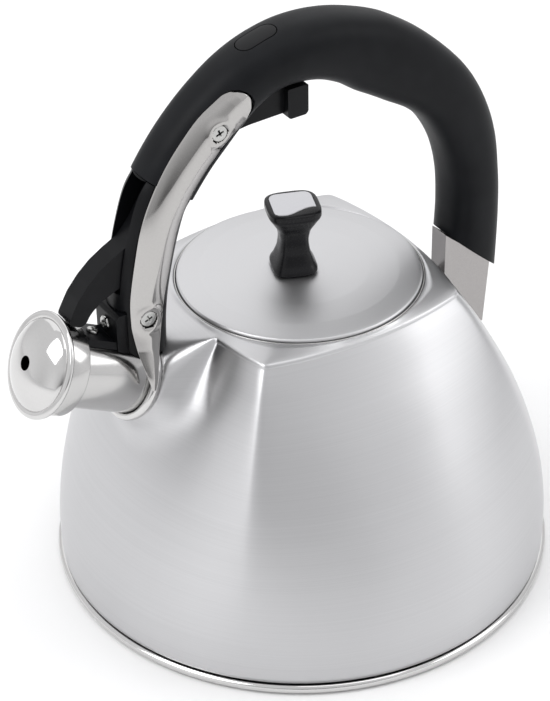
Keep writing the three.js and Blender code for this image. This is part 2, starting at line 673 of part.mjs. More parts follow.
// ---------------------------------------------------------------- rear bracket
function rearBracket() {
  const foot = [];
  for (const [z, , middle] of WALL) if (z > 70 && z < 115) foot.push([middle + GAP + 0.1, z]);
  const [low, high] = [foot[0], foot[foot.length - 1]];
  const front = [[72.6, high[1]], [72.6, 133.0], [80.0, 126.6], [80.0, 150], [94, 150]];
  const outline = [...foot, ...front, [94, 114.4], [97.4, 111.4], [95.0, low[1]]];
  const hollow = [
    [60, 60], [60, 108], [72.6 + BRACKET_SHEET, 108], [72.6 + BRACKET_SHEET, 130.4],
    [80 + BRACKET_SHEET, 123.9], [80 + BRACKET_SHEET, 160], [94 - BRACKET_SHEET, 160],
    [94 - BRACKET_SHEET, 112.6],
    [97.4 - BRACKET_SHEET, 109.8], [95.0 - BRACKET_SHEET, low[1] - 2], [90, 60],
  ];
  return solid(plate(outline, BRACKET_HALF))
    .subtract(solid(plate(hollow, BRACKET_HALF - BRACKET_SHEET)))
    .subtract(solid(rod([90, 0, REAR_SCREW_Z], [104, 0, REAR_SCREW_Z], 1.8)));
}
piece('rear_bracket', rearBracket(), POLISHED);
const rearScrew = piece('rear_screw', panScrew(3.4, 1.6, 1.5, 7), SCREW);
rearScrew.position.set(96.7, 0, REAR_SCREW_Z);
rearScrew.rotation.y = Math.PI / 2;

// ---------------------------------------------------------------- whistle cap
piece('cap_shell', turned(alongSpout([
  [3.0, -7.6], [8, -7.2], [13.5, -5.6], [17.2, -3.2], [19.0, -1.4], [20.6, -1.6], [CAP_RADIUS, -0.9],
  [CAP_RADIUS, 0.1], [20.8, 0.9], [18.9, 0.6], [18.2, -0.8], [16.4, -2.6], [13.0, -4.7], [7.8, -6.3],
  [3.0, -6.7],
]), MEDIUM), POLISHED, spoutFrame);
const capSkirt = solid(turned(alongSpout([
  [SKIRT_RADIUS, 1.3], [SKIRT_RADIUS, SKIRT_END - 0.3], [SKIRT_RADIUS - 0.3, SKIRT_END],
  [SKIRT_RADIUS - 0.7, SKIRT_END - 0.3], [SKIRT_RADIUS - 0.7, 2.1], [10, 2.1], [10, 1.3],
]), MEDIUM));
const rivetHole = solid(rod([14, 0, -RIVET_AT], [22, 0, -RIVET_AT], RIVET_RADIUS + GAP));
piece('cap_skirt', capSkirt.subtract(rivetHole), SATIN, spoutFrame);
piece('whistle_disc_front', turned(alongSpout([[2.0, -1.9], [14.6, -1.9], [14.6, -2.5], [2.0, -2.5]]), 24),
  SATIN, spoutFrame);
piece('whistle_disc_back', turned(alongSpout([[2.0, 0.6], [16.8, 0.6], [16.8, 0.0], [2.0, 0.0]]), 24),
  SATIN, spoutFrame);
piece('mouth_seal', turned(alongSpout([
  [11, 2.4], [17.4, 2.4], [17.4, 3.7], [11, 3.7],
]), 24), SILICONE, spoutFrame);
function capRivet() {
  return turned([[0, 0], [2.2, 0], [2.2, 0.9], [RIVET_RADIUS, 0.9], [RIVET_RADIUS, 5.4], [0, 5.4]], 12);
}
const rivet = piece('cap_rivet', capRivet(), SCREW, spoutFrame);
rivet.position.set(SKIRT_RADIUS - 0.7 - 0.9 - GAP, 0, -RIVET_AT);
rivet.rotation.y = Math.PI / 2;

// ---------------------------------------------------------------- lid
const knobHole = solid(rod([KNOB_AT, 0, 135], [KNOB_AT, 0, 150], 2.4));
piece('lid_plate', solid(turned([
  [0, 142.2], [16, 142.2], [30, 141.5], [42, 140.3], [49.2, 139.3], [51.1, 139.0], [LID_RADIUS, 138.5],
  [LID_RADIUS, 136.3], [50.4, 136.3], [50.4, 137.2], [48.8, 138.4], [30, 140.7], [16, 141.4], [0, 141.4],
], FINE)).subtract(knobHole), POLISHED, lidFrame);
piece('lid_skirt', turned([[47.9, 137.9], [47.9, 124], [47.2, 124], [47.2, 137.9]], FINE), SATIN, lidFrame);

function knobForm() {
  const rings = KNOB.map(([z, a, b]) => {
    const ring = [];
    for (let j = 0; j < 16; j += 1) {
      const angle = (2 * Math.PI * j) / 16;
      const [c, s] = [Math.cos(angle), Math.sin(angle)];
      const x = a * Math.sign(c) * Math.abs(c) ** 0.55;
      const y = b * Math.sign(s) * Math.abs(s) ** 0.55;
      ring.push(new THREE.Vector3(x, y, z));
    }
    return ring;
  });
  return loft(rings);
}
// The inlay's outline: straight at the back and sides, an S-shaped front edge.
function inlayShape(grow) {
  const [x, back, front] = [9.0 + grow, 8.8 + grow, -8.4 - grow];
  const shape = new THREE.Shape();
  shape.moveTo(-x + 4.2, back);
  shape.lineTo(x - 4.2, back);
  shape.quadraticCurveTo(x, back, x, back - 4.2);
  shape.lineTo(x, front + 4.2);
  shape.bezierCurveTo(x - 6, front + 5.4, -x + 8, front - 0.6, -x + 3.6, front);
  shape.quadraticCurveTo(-x, front, -x, front + 3.2);
  shape.lineTo(-x, back - 4.2);
  shape.quadraticCurveTo(-x, back, -x + 4.2, back);
  return shape;
}
function inlaySolid(grow, low, high) {
  const options = { depth: high - low, bevelEnabled: false, curveSegments: 5 };
  return new THREE.ExtrudeGeometry(inlayShape(grow), options).translate(0, 0, low);
}
const knobGroup = new THREE.Group();
knobGroup.rotation.z = KNOB_TURN;
knobGroup.position.x = KNOB_AT;
lidFrame.add(knobGroup);
piece('lid_knob', solid(knobForm())
  .subtract(solid(inlaySolid(GAP, INLAY_Z - GAP, 174)))
  .subtract(solid(rod([0, 0, 140], [0, 0, 158], KNOB_BORE))), HARD_BLACK, knobGroup);
piece('knob_inlay', inlaySolid(0, INLAY_Z, INLAY_Z + 1), SATIN, knobGroup);
const washer = turned([[2.4, 140.2], [6.5, 140.2], [6.5, 141.1], [2.4, 141.1]], SMALL);
piece('knob_washer', washer, SCREW, knobGroup);
const knobScrew = piece('knob_screw', panScrew(4.0, 2.4, 2.0, 17), SCREW, knobGroup);
knobScrew.position.z = 139.9;
knobScrew.rotation.x = Math.PI;

export default kettle;
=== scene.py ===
"""Looks of the stovetop whistling kettle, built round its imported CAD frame. Lengths are in millimetres."""
import json
import math

import bmesh
import bpy
import numpy as np
from mathutils import Matrix, Vector


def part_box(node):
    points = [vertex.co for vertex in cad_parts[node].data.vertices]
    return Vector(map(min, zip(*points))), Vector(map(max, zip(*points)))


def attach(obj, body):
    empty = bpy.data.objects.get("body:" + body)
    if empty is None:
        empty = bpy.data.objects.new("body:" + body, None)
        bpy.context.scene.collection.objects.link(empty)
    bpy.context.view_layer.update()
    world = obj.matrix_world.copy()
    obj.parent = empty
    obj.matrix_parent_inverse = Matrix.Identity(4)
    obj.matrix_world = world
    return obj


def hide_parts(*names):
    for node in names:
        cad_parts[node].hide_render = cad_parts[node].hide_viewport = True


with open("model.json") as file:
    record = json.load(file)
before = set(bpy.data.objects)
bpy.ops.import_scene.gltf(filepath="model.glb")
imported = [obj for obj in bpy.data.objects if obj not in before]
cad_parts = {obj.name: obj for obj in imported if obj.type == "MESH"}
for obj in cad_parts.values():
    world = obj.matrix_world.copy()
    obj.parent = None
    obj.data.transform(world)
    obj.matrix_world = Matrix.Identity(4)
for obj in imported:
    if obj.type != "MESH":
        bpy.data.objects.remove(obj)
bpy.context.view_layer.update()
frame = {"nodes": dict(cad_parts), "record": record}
JOINTS = {joint["name"]: joint for joint in frame["record"]["behaviour"]["joints"]}


def box_mm(node):
    """The lowest and highest corners of a CAD node, in millimetres."""
    low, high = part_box(node)
    return [v * 1000 for v in low], [v * 1000 for v in high]


# ------------------------------------------------------------------ driving dimensions, as in the CAD
GAP = 0.3
WALL = [
    (5.8, 108.3, 108.3), (14, 108.5, 108.4), (28, 108.0, 107.2), (44, 106.3, 103.6), (62, 102.6, 97.4),
    (80, 97.2, 89.6), (96, 90.8, 80.8), (111, 83.4, 71.6), (122, 77.2, 64.0), (130, 71.8, 58.4),
    (134.8, 67.8, 54.9),
]
SHOULDER_Z = 136.6
SHOULDER_INSET = 1.6
TOP_Z = 137.7
OPENING_RADIUS = 52.9
SPOUT_RISE = math.radians(28)
MOUTH = Vector((-121.7, 0, 138.5))
TUBE_RADIUS = 15.5
NOSE_START = 47.3
PIVOT = [1000 * JOINTS["whistle_swing"]["pos_m"][i] for i in (0, 2)]
BARREL_LOW, BARREL_HIGH = box_mm("lower_barrel")
LOWER_PIN = [(BARREL_LOW[0] + BARREL_HIGH[0]) / 2, (BARREL_LOW[2] + BARREL_HIGH[2]) / 2]
BUTTON_AT = (-19, 252.6)
BUTTON_TILT = math.radians(17)
BUTTON_SIZE = (17.5, 9.3)
POCKET_SIZE = (18.3, 10.1)
POCKET_FLOOR = -9.6                      # heights along the button's own axis
BUTTON_UNDERSIDE = -3.6
STEM_TIP = -22.2
STEM_HALF = 3.2
LEVER_HALF = 4.8                         # half width of the lever
SLOT_HALF = 5.3                          # half width of the slot that it runs in
SCREW_FACE = 12.9                        # distance of the arm screws' heads from the XZ plane
ARM_CROWN = 2.2                          # how far the arms bulge outwards
HOLE_DISH = 5.2                          # radius of the dish round a screw in the arm
GRIP = [
    (86.2, 104, 12.4, 13.6), (86.6, 124, 12.4, 13.9), (87.0, 143, 11.9, 14.1), (86.0, 160, 11.8, 14.3),
    (82.6, 178, 12.8, 14.4), (77.2, 191.5, 13.6, 14.5), (69.6, 203.6, 14.3, 14.5), (60.0, 213.4, 15.0, 14.5),
    (47.8, 222.6, 16.2, 14.5), (35.0, 230.8, 16.4, 14.5), (22.0, 237.7, 14.9, 14.5), (9.0, 242.0, 13.5, 14.4),
    (-4.5, 243.4, 12.3, 14.3), (-17.5, 241.6, 11.4, 13.9), (-28.5, 236.8, 11.9, 13.3),
    (-38.3, 229.6, 12.7, 13.0), (-46.5, 222.1, 13.3, 12.7), (-53.6, 214.8, 13.4, 12.4),
    (-59.6, 207.4, 13.4, 12.2), (-63.3, 202.3, 13.3, 12.1),
]
LEG = [
    (-63.6, 201.9, 12.2, 11.8), (-66.9, 197.2, 12.3, 11.7), (-70.9, 186.2, 12.3, 11.4),
    (-74.5, 172.1, 12.3, 10.9), (-76.9, 158.0, 12.0, 10.2), (-78.0, 146.0, 11.8, 9.9),
    (-78.4, 128.0, 11.6, 9.9),
]
ARM = [
    (-30.4, 237.1, 1.3, 10.9, 0.8), (-31.1, 236.4, 4.3, 10.9, 1.6), (-33.1, 234.6, 6.9, 10.7, 2.2),
    (-36.2, 232.1, 8.1, 10.5, 2.3), (-45.3, 225.3, 8.5, 10.5, 2.3), (-52.7, 218.1, 8.4, 10.5, 2.3),
    (-59.2, 210.6, 8.2, 10.5, 2.3), (-65.1, 201.9, 8.0, 10.5, 2.3), (-70.9, 189.7, 7.8, 10.5, 2.3),
    (-75.6, 171.8, 7.5, 10.5, 2.2), (-78.4, 158.9, 7.3, 10.5, 1.6), (-79.8, 148.0, 6.7, 10.9, 0.6),
    (-81.0, 138.5, 5.0, 13.4, 0.0), (-81.8, 130.5, 3.1, 16.8, 0.0), (-82.3, 125.4, 1.7, 18.7, 0.0),
    (-82.6, 122.2, 0.8, 19.2, 0.0),
]
LEVER = [
    (0, 230.2), (-21, 230.2), (-33, 231.0), (-44, 231.4), (-51.2, 227.4), (-56.4, 219.0), (-62.4, 210.4),
    (-69.8, 199.6), (-77.0, 188.6), (-82.6, 182.6), (-89.0, 179.4), (-95.0, 175.8), (-100.4, 171.2),
    (-105.6, 165.2), (-109.2, 158.8), (-110.7, 155.7), (-104.0, 151.9), (-100.8, 157.2), (-95.6, 161.2),
    (-88.0, 164.4), (-80.4, 167.6), (-76.6, 174.4), (-71.6, 185.2), (-64.4, 197.2), (-56.4, 206.8),
    (-50.2, 214.0), (-44, 216.8), (-35.5, 217.2), (-26.0, 218.4), (-9.6, 218.8), (0, 217.8),
]
SLOT = [
    (6, 230.6), (-18, 230.7), (-30, 232.6), (-44, 232.9), (-54.0, 229.6), (-61.6, 220.4), (-68.9, 211.4),
    (-73.6, 208.0), (-84, 210), (-100, 200), (-100, 158.6), (-90, 160.8), (-79.6, 165.2), (-75.2, 172.8),
    (-70.0, 183.6), (-62.8, 195.8), (-54.8, 205.2), (-48.4, 211.6), (-43, 205), (-6, 198), (6, 210),
]
KNOB = [
    (142.5, 8.7, 9.6), (143.6, 9.4, 10.4), (147.0, 8.0, 8.6), (151.5, 6.5, 7.0), (156.5, 6.0, 6.4),
    (161.5, 6.8, 7.2), (166.0, 9.2, 9.4), (169.8, 11.2, 11.0), (171.6, 11.1, 10.9), (172.2, 10.3, 10.1),
]
KNOB_AT = -2.8
FOOT_TOP = 17.1
CREASE_SOFT, CREASE_CRISP = 2.6, 1.3    # degrees over which a corner is rounded, at the foot and the shoulder


# ------------------------------------------------------------------ curves and outlines
def spline(table, count):
    """Centripetal Catmull-Rom curve through rows of numbers, split as (place columns, size columns)."""
    def through(points):
        points = np.array(points, float)
        last = len(points) - 1
        out = []
        for t in np.linspace(0, last, count):
            i = min(int(t), last - 1)
            w = t - i
            p1, p2 = points[i], points[i + 1]
            p0 = points[i - 1] if i > 0 else 2 * p1 - p2
            p3 = points[i + 2] if i + 2 <= last else 2 * p2 - p1
            d0, d1, d2 = (np.sum((b - a) ** 2) ** 0.25 for a, b in ((p0, p1), (p1, p2), (p2, p3)))
            d1 = d1 if d1 > 1e-4 else 1.0
            d0 = d0 if d0 > 1e-4 else d1
            d2 = d2 if d2 > 1e-4 else d1
            m1 = ((p1 - p0) / d0 - (p2 - p0) / (d0 + d1) + (p2 - p1) / d1) * d1
            m2 = ((p2 - p1) / d1 - (p3 - p1) / (d1 + d2) + (p3 - p2) / d2) * d1
            out.append(p1 + m1 * w + (-3 * p1 + 3 * p2 - 2 * m1 - m2) * w * w
                       + (2 * p1 - 2 * p2 + m1 + m2) * w ** 3)
        return np.array(out)
    place = through([row[:2] for row in table])
    size = through([row[2:] for row in table])
    slope = np.gradient(place, axis=0)
    slope /= np.linalg.norm(slope, axis=1)[:, None]
    normal = np.stack([slope[:, 1], -slope[:, 0]], 1)
    return place, normal, size


def rounded(outline, radius, steps=5):
    """A closed outline with each corner turned into an arc, as large as its two sides allow."""
    points = [np.array(p, float) for p in outline]
    out = []
    for i, p in enumerate(points):
        before, after = points[i - 1] - p, points[(i + 1) % len(points)] - p
        la, lb = np.linalg.norm(before), np.linalg.norm(after)
        ua, ub = before / la, after / lb
        half = math.acos(max(-1, min(1, float(ua @ ub)))) / 2
        if half > math.radians(89.5):
            out.append(tuple(p))
            continue
        r = radius[i] if isinstance(radius, (list, tuple)) else radius
        cut = min(r / math.tan(half), 0.48 * la, 0.48 * lb)
        a, b = p + ua * cut, p + ub * cut
        for s in np.linspace(0, 1, steps + 1):
            out.append(tuple((1 - s) ** 2 * a + 2 * s * (1 - s) * (p * 0.75 + (a + b) * 0.125) + s ** 2 * b))
    return out


def spout_point(distance, up=0.0, across=0.0):
    """A point along the spout's axis from the mouth inwards, then up from it and across it."""
    c, s = math.cos(SPOUT_RISE), math.sin(SPOUT_RISE)
    return Vector((MOUTH.x + distance * c + up * s, across, MOUTH.z - distance * s + up * c))


SPOUT_FRAME = Matrix.Translation(MOUTH) @ Matrix.Rotation(-(math.pi / 2 - SPOUT_RISE), 4, "Y")


# ------------------------------------------------------------------ mesh makers
def made(name, verts, faces, sharp=35, smooth=True):
    """An object from points in millimetres, smooth but for edges sharper than the given angle."""
    mesh = bpy.data.meshes.new(name)
    mesh.from_pydata([tuple(0.001 * c for c in v) for v in verts], [], faces)
    work = bmesh.new()
    work.from_mesh(mesh)
    bmesh.ops.remove_doubles(work, verts=work.verts, dist=1e-7)
    bmesh.ops.recalc_face_normals(work, faces=work.faces)
    work.to_mesh(mesh)
    work.free()
    if smooth:
        mesh.shade_smooth()
        mesh.set_sharp_from_angle(angle=math.radians(sharp))
    obj = bpy.data.objects.new(name, mesh)
    bpy.context.scene.collection.objects.link(obj)
    return obj


def turned(name, profile, sides, place=None, sharp=35, closed=True):
    """A profile of (radius, height) turned round the Z axis, then placed by a matrix."""
    verts, faces = [], []
    count = len(profile)
    for i in range(sides):
        angle = 2 * math.pi * i / sides
        for r, z in profile:
            v = Vector((max(r, 0.0) * math.cos(angle), max(r, 0.0) * math.sin(angle), z))
            verts.append(place @ v if place else v)
    for i in range(sides):
        k = (i + 1) % sides
        for j in range(count if closed else count - 1):
            m = (j + 1) % count
            if profile[j][0] <= 1e-6 and profile[m][0] <= 1e-6:
                continue
            quad = [i * count + j, k * count + j, k * count + m, i * count + m]
            if profile[j][0] <= 1e-6:
                quad = [i * count + j, k * count + m, i * count + m]
            elif profile[m][0] <= 1e-6:
                quad = [i * count + j, k * count + j, i * count + m]
            faces.append(quad)
    return made(name, verts, faces, sharp)


def plate(name, outline, half, bevel=0.6, middle=0.0, segments=3, sharp=35):
    """An outline of (x, z) thickened across the XZ plane, with rounded edges."""
    count = len(outline)
    verts = [(x, middle - half, z) for x, z in outline] + [(x, middle + half, z) for x, z in outline]
    faces = [list(range(count)), list(range(2 * count - 1, count - 1, -1))]
    faces += [[i, (i + 1) % count, count + (i + 1) % count, count + i] for i in range(count)]
    obj = made(name, verts, faces, sharp)
    if bevel:
        add = obj.modifiers.new("edges", "BEVEL")
        add.width = bevel * 0.001
        add.segments = segments
        add.limit_method = "ANGLE"
        add.angle_limit = math.radians(50)
        add.harden_normals = False
    return obj


def loft(name, rings, sharp=35, ends=True):
    """A skin over rings of points, closed at both ends unless told otherwise."""
    count = len(rings[0])
    verts = [v for ring in rings for v in ring]
    faces = []
    for i in range(len(rings) - 1):
        for j in range(count):
            k = (j + 1) % count
            faces.append([i * count + j, i * count + k, (i + 1) * count + k, (i + 1) * count + j])
    if ends:
        faces.append(list(range(count)))
        faces.append([(len(rings) - 1) * count + j for j in range(count)])
    return made(name, verts, faces, sharp)


def rounded_bar(name, table, steps, sides=56):
    """A bar with a soft rectangular section, whose half sizes follow the table along its curve."""
    place, normal, size = spline(table, steps)
    rings = []
    for p, n, (a, b) in zip(place, normal, size):
        ring = []
        for j in range(sides):
            angle = 2 * math.pi * j / sides
            c, s = math.cos(angle), math.sin(angle)
            out = a * math.copysign(abs(c) ** 0.8, c)
            across = b * math.copysign(abs(s) ** 0.8, s)
            ring.append((p[0] + n[0] * out, across, p[1] + n[1] * out))
        rings.append(ring)
    return loft(name, rings)


def rod(name, start, end, radius, sides=40):
    """A round bar between two points."""
    start, end = Vector(start), Vector(end)
    turn = (end - start).to_track_quat("Z", "Y").to_matrix().to_4x4()
    length = (end - start).length
    return turned(name, [(0, 0), (radius, 0), (radius, length), (0, length)], sides,
                  Matrix.Translation(start) @ turn)


def apply_all(obj):
    """Turns the object's modifiers into plain mesh."""
    graph = bpy.context.evaluated_depsgraph_get()
    mesh = bpy.data.meshes.new_from_object(obj.evaluated_get(graph))
    obj.modifiers.clear()
    old = obj.data
    obj.data = mesh
    bpy.data.meshes.remove(old)
    return obj


def carve(obj, cutters, operation="DIFFERENCE", sharp=35, bevel=0.0):
    """Cuts away (or keeps) each cutter's space, then rounds sharp edges a little when a bevel width is given.
    """
    for cutter in cutters:
        step = obj.modifiers.new("cut", "BOOLEAN")
        step.operation = operation
        step.solver = "EXACT"
        step.object = cutter
    bpy.context.view_layer.update()
    apply_all(obj)
    for cutter in cutters:
        bpy.data.objects.remove(cutter)
    obj.data.shade_smooth()
    obj.data.set_sharp_from_angle(angle=math.radians(sharp))
    if bevel:
        step = obj.modifiers.new("edges", "BEVEL")
        step.width = bevel * 0.001
        step.segments = 2
        step.limit_method = "ANGLE"
        step.angle_limit = math.radians(48)
    return obj


# ------------------------------------------------------------------ materials
def nodes_of(name):
    """A new material with its node tree and its main shader."""
    material = bpy.data.materials.new(name)
    material.use_nodes = True
    tree = material.node_tree
    shader = tree.nodes["Principled BSDF"]
    return material, tree, shader


def maths(tree, operation, a, b=None):
    """One arithmetic node. Each input is a number or a socket."""
    node = tree.nodes.new("ShaderNodeMath")
    node.operation = operation
    for i, value in enumerate((a, b)):
        if value is None:
            continue
        if isinstance(value, (int, float)):
            node.inputs[i].default_value = value
        else:
            tree.links.new(value, node.inputs[i])
    return node.outputs[0]


def noise(tree, vector, scale, detail=3.0, roughness=0.6):
    """Cloudy values round one half."""
    node = tree.nodes.new("ShaderNodeTexNoise")
    node.inputs["Scale"].default_value = scale
    node.inputs["Detail"].default_value = detail
    node.inputs["Roughness"].default_value = roughness
    tree.links.new(vector, node.inputs["Vector"])
    return node.outputs["Fac"]


def spread(tree, value, low, high, start=0.35, end=0.65):
    """Stretches values between start and end over low to high."""
    node = tree.nodes.new("ShaderNodeMapRange")
    node.inputs["From Min"].default_value = start
    node.inputs["From Max"].default_value = end
    node.inputs["To Min"].default_value = low
    node.inputs["To Max"].default_value = high
    tree.links.new(value, node.inputs["Value"])
    return node.outputs[0]


def tinted(tree, value, dark, light):
    """A colour between two, picked by a value from 0 to 1."""
    node = tree.nodes.new("ShaderNodeMix")
    node.data_type = "RGBA"
    node.inputs["A"].default_value = (*dark, 1)
    node.inputs["B"].default_value = (*light, 1)
    tree.links.new(value, node.inputs["Factor"])
    return node.outputs["Result"]


def bumped(tree, shader, height, strength, distance):
    """Tilts the shader's normal by the slopes of a height."""
    node = tree.nodes.new("ShaderNodeBump")
    node.inputs["Strength"].default_value = strength
    node.inputs["Distance"].default_value = distance
    tree.links.new(height, node.inputs["Height"])
    tree.links.new(node.outputs[0], shader.inputs["Normal"])


def brushed(tree, along, across):
    """A vector that varies slowly round the kettle and quickly up it, for fine turned brushing."""
    where = tree.nodes.new("ShaderNodeTexCoord").outputs["Object"]
    split = tree.nodes.new("ShaderNodeSeparateXYZ")
    merge = tree.nodes.new("ShaderNodeCombineXYZ")
    tree.links.new(where, split.inputs[0])
    for i, scale in enumerate((along, along, across)):
        tree.links.new(maths(tree, "MULTIPLY", split.outputs[i], scale), merge.inputs[i])
    return merge.outputs[0]


def steel(name, light, dark, rough, grain="none", anisotropy=0.0, bump=0.0):
    """Stainless steel, brushed round the kettle or with a fine even grain."""
    material, tree, shader = nodes_of(name)
    shader.inputs["Metallic"].default_value = 1.0
    where = tree.nodes.new("ShaderNodeTexCoord").outputs["Object"]
    cloud = noise(tree, where, 18, 1)
    if grain == "round":
        fine = noise(tree, brushed(tree, 5, 2600), 1.0, 2, 0.5)
    else:
        fine = noise(tree, where, 1500, 1)
    both = maths(tree, "ADD", maths(tree, "MULTIPLY", cloud, 0.5), maths(tree, "MULTIPLY", fine, 0.5))
    tree.links.new(tinted(tree, spread(tree, both, 0, 1, 0.3, 0.7), dark, light), shader.inputs["Base Color"])
    tree.links.new(spread(tree, both, rough * 0.95, rough * 1.05, 0.3, 0.7), shader.inputs["Roughness"])
    if anisotropy:
        shader.inputs["Anisotropic"].default_value = anisotropy
        tangent = tree.nodes.new("ShaderNodeTangent")
        tangent.direction_type = "RADIAL"
        tangent.axis = "Z"
        tree.links.new(tangent.outputs[0], shader.inputs["Tangent"])
        shader.inputs["Anisotropic Rotation"].default_value = 0.25
    if bump:
        bumped(tree, shader, fine, bump, 0.00003)
    return material


def black(name, colour, rough, grain_size, bump, coat=0.0, gloss=0.22):
    """Plastic or silicone with a fine grain and a faint cloud in its colour."""
    material, tree, shader = nodes_of(name)
    where = tree.nodes.new("ShaderNodeTexCoord").outputs["Object"]
    fine = noise(tree, where, grain_size, 4, 0.65)
    cloud = noise(tree, where, 38, 2)
    lighter = tuple(c * 1.45 + 0.002 for c in colour)
    tree.links.new(tinted(tree, spread(tree, cloud, 0, 1), colour, lighter), shader.inputs["Base Color"])
    tree.links.new(spread(tree, fine, rough * 0.88, rough * 1.12), shader.inputs["Roughness"])
    shader.inputs["Specular IOR Level"].default_value = gloss
    shader.inputs["Coat Weight"].default_value = coat
    shader.inputs["Coat Roughness"].default_value = 0.25
    bumped(tree, shader, fine, bump, 0.00012)
    return material


BODY = steel("brushed_body_steel", (0.62, 0.62, 0.63), (0.57, 0.57, 0.58), 0.32, "round", 0.9, 0.04)
LID = steel("satin_lid_steel", (0.62, 0.62, 0.63), (0.60, 0.60, 0.61), 0.42)
POLISHED = steel("polished_steel", (0.66, 0.655, 0.65), (0.62, 0.615, 0.61), 0.07)
# The side arms are the same polished steel as the collar and cap. Their lower base colour is painted shade
# for the darker surroundings that they reflect.
ARM_STEEL_PAINTED_SHADE = steel("arm_steel_painted_shade", (0.50, 0.49, 0.48), (0.46, 0.45, 0.44), 0.09)
SATIN = steel("satin_steel", (0.58, 0.575, 0.57), (0.54, 0.535, 0.53), 0.16)
PLATE = steel("bracket_steel", (0.41, 0.395, 0.39), (0.36, 0.345, 0.34), 0.20)
BADGE = steel("badge_steel", (0.58, 0.58, 0.60), (0.54, 0.54, 0.56), 0.34)
SCREW = steel("screw_steel", (0.55, 0.55, 0.54), (0.45, 0.45, 0.44), 0.20)
CORE = steel("rolled_aluminium", (0.72, 0.73, 0.74), (0.62, 0.63, 0.64), 0.45)
UNDER = steel("base_steel", (0.70, 0.70, 0.69), (0.58, 0.58, 0.57), 0.32)
GRIP_BLACK = black("soft_grip_black", (0.0045, 0.005, 0.0062), 0.45, 2600, 0.18, 0.0, 0.13)
HARD = black("hard_black", (0.0032, 0.0034, 0.0042), 0.34, 1800, 0.06, 0.0, 0.15)
KNOB_BLACK = black("knob_black", (0.005, 0.005, 0.006), 0.26, 1200, 0.05, 0.0, 0.22)
SILICONE = black("grey_silicone", (0.15, 0.15, 0.16), 0.55, 900, 0.15)


def finish(obj, material, body, slot, *nodes):
    """Gives a piece its material and the body it rides on, and hides the CAD nodes it stands for. The slot
    argument is not used.
    """
    obj.data.materials.clear()
    obj.data.materials.append(material)
    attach(obj, body)
    if nodes:
        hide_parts(*nodes)
    return obj


def dress(node, material):
    """Gives a CAD node that is kept as it is its material."""
    obj = frame["nodes"][node]
    obj.data.materials.clear()
    obj.data.materials.append(material)


# ------------------------------------------------------------------ body
def smooth_column(column, heights):
    """Smooth values through the wall table's column at the given heights."""
    zs = [row[0] for row in WALL]
    values = [row[column] for row in WALL]
    slopes = np.gradient(values, zs)
    out = []
    for z in heights:
        z = min(max(z, zs[0]), zs[-1])
        i = min(np.searchsorted(zs, z, "right") - 1, len(zs) - 2)
        h = zs[i + 1] - zs[i]
        t = (z - zs[i]) / h
        out.append((2 * t ** 3 - 3 * t ** 2 + 1) * values[i] + (t ** 3 - 2 * t ** 2 + t) * h * slopes[i]
                   + (-2 * t ** 3 + 3 * t ** 2) * values[i + 1] + (t ** 3 - t ** 2) * h * slopes[i + 1])
    return np.array(out)


def wall_radius(angle, corner, middle, z):
    """Radius of the wall at each angle: four bulging sides that meet in softened corners."""
    quarter = math.pi / 2
    from_middle = np.abs((angle + quarter / 2) % quarter - quarter / 2)
    up = min(max(z / SHOULDER_Z, 0), 1)
    soft = math.radians(CREASE_SOFT + (CREASE_CRISP - CREASE_SOFT) * up)
    eased = np.maximum(0, quarter / 2 - np.hypot(quarter / 2 - from_middle, soft))
    if corner - middle < 0.01:
        return np.full_like(angle, corner)
    back = (corner ** 2 - middle ** 2) / (2 * middle - math.sqrt(2) * corner)
    return np.sqrt((middle + back) ** 2 - (back * np.sin(eased)) ** 2) - back * np.cos(eased)


def nose_planes():
    """Outward planes of the convex form that is pressed out of the wall to carry the spout."""
    work = bmesh.new()
    for j in range(96):
        angle = 2 * math.pi * j / 96
        up, across = math.cos(angle), math.sin(angle)
        work.verts.new(spout_point(NOSE_START, 17.1 * up, 17.1 * across))
        if up < 0.35:
            work.verts.new(spout_point(62, 28 * up, 28 * across))
    for side in (-1, 1):
        work.verts.new((-(WALL[-1][2] - SHOULDER_INSET), 20 * side, SHOULDER_Z))
        work.verts.new((-30, 20 * side, SHOULDER_Z - 4))
    bmesh.ops.convex_hull(work, input=work.verts)
    work.normal_update()
    inner = Vector((-60, 0, 115))
    planes = []
    for face in work.faces:
        if face.calc_area() < 1e-3:
            continue
        normal = face.normal if (face.verts[0].co - inner).dot(face.normal) > 0 else -face.normal
        planes.append((*normal, face.verts[0].co.dot(normal)))
    work.free()
    planes = np.array(planes)
    keep = []
    for i, p in enumerate(planes):
        if all(np.dot(p[:3], planes[k][:3]) < 0.99995 for k in keep):
            keep.append(i)
    return planes[keep]


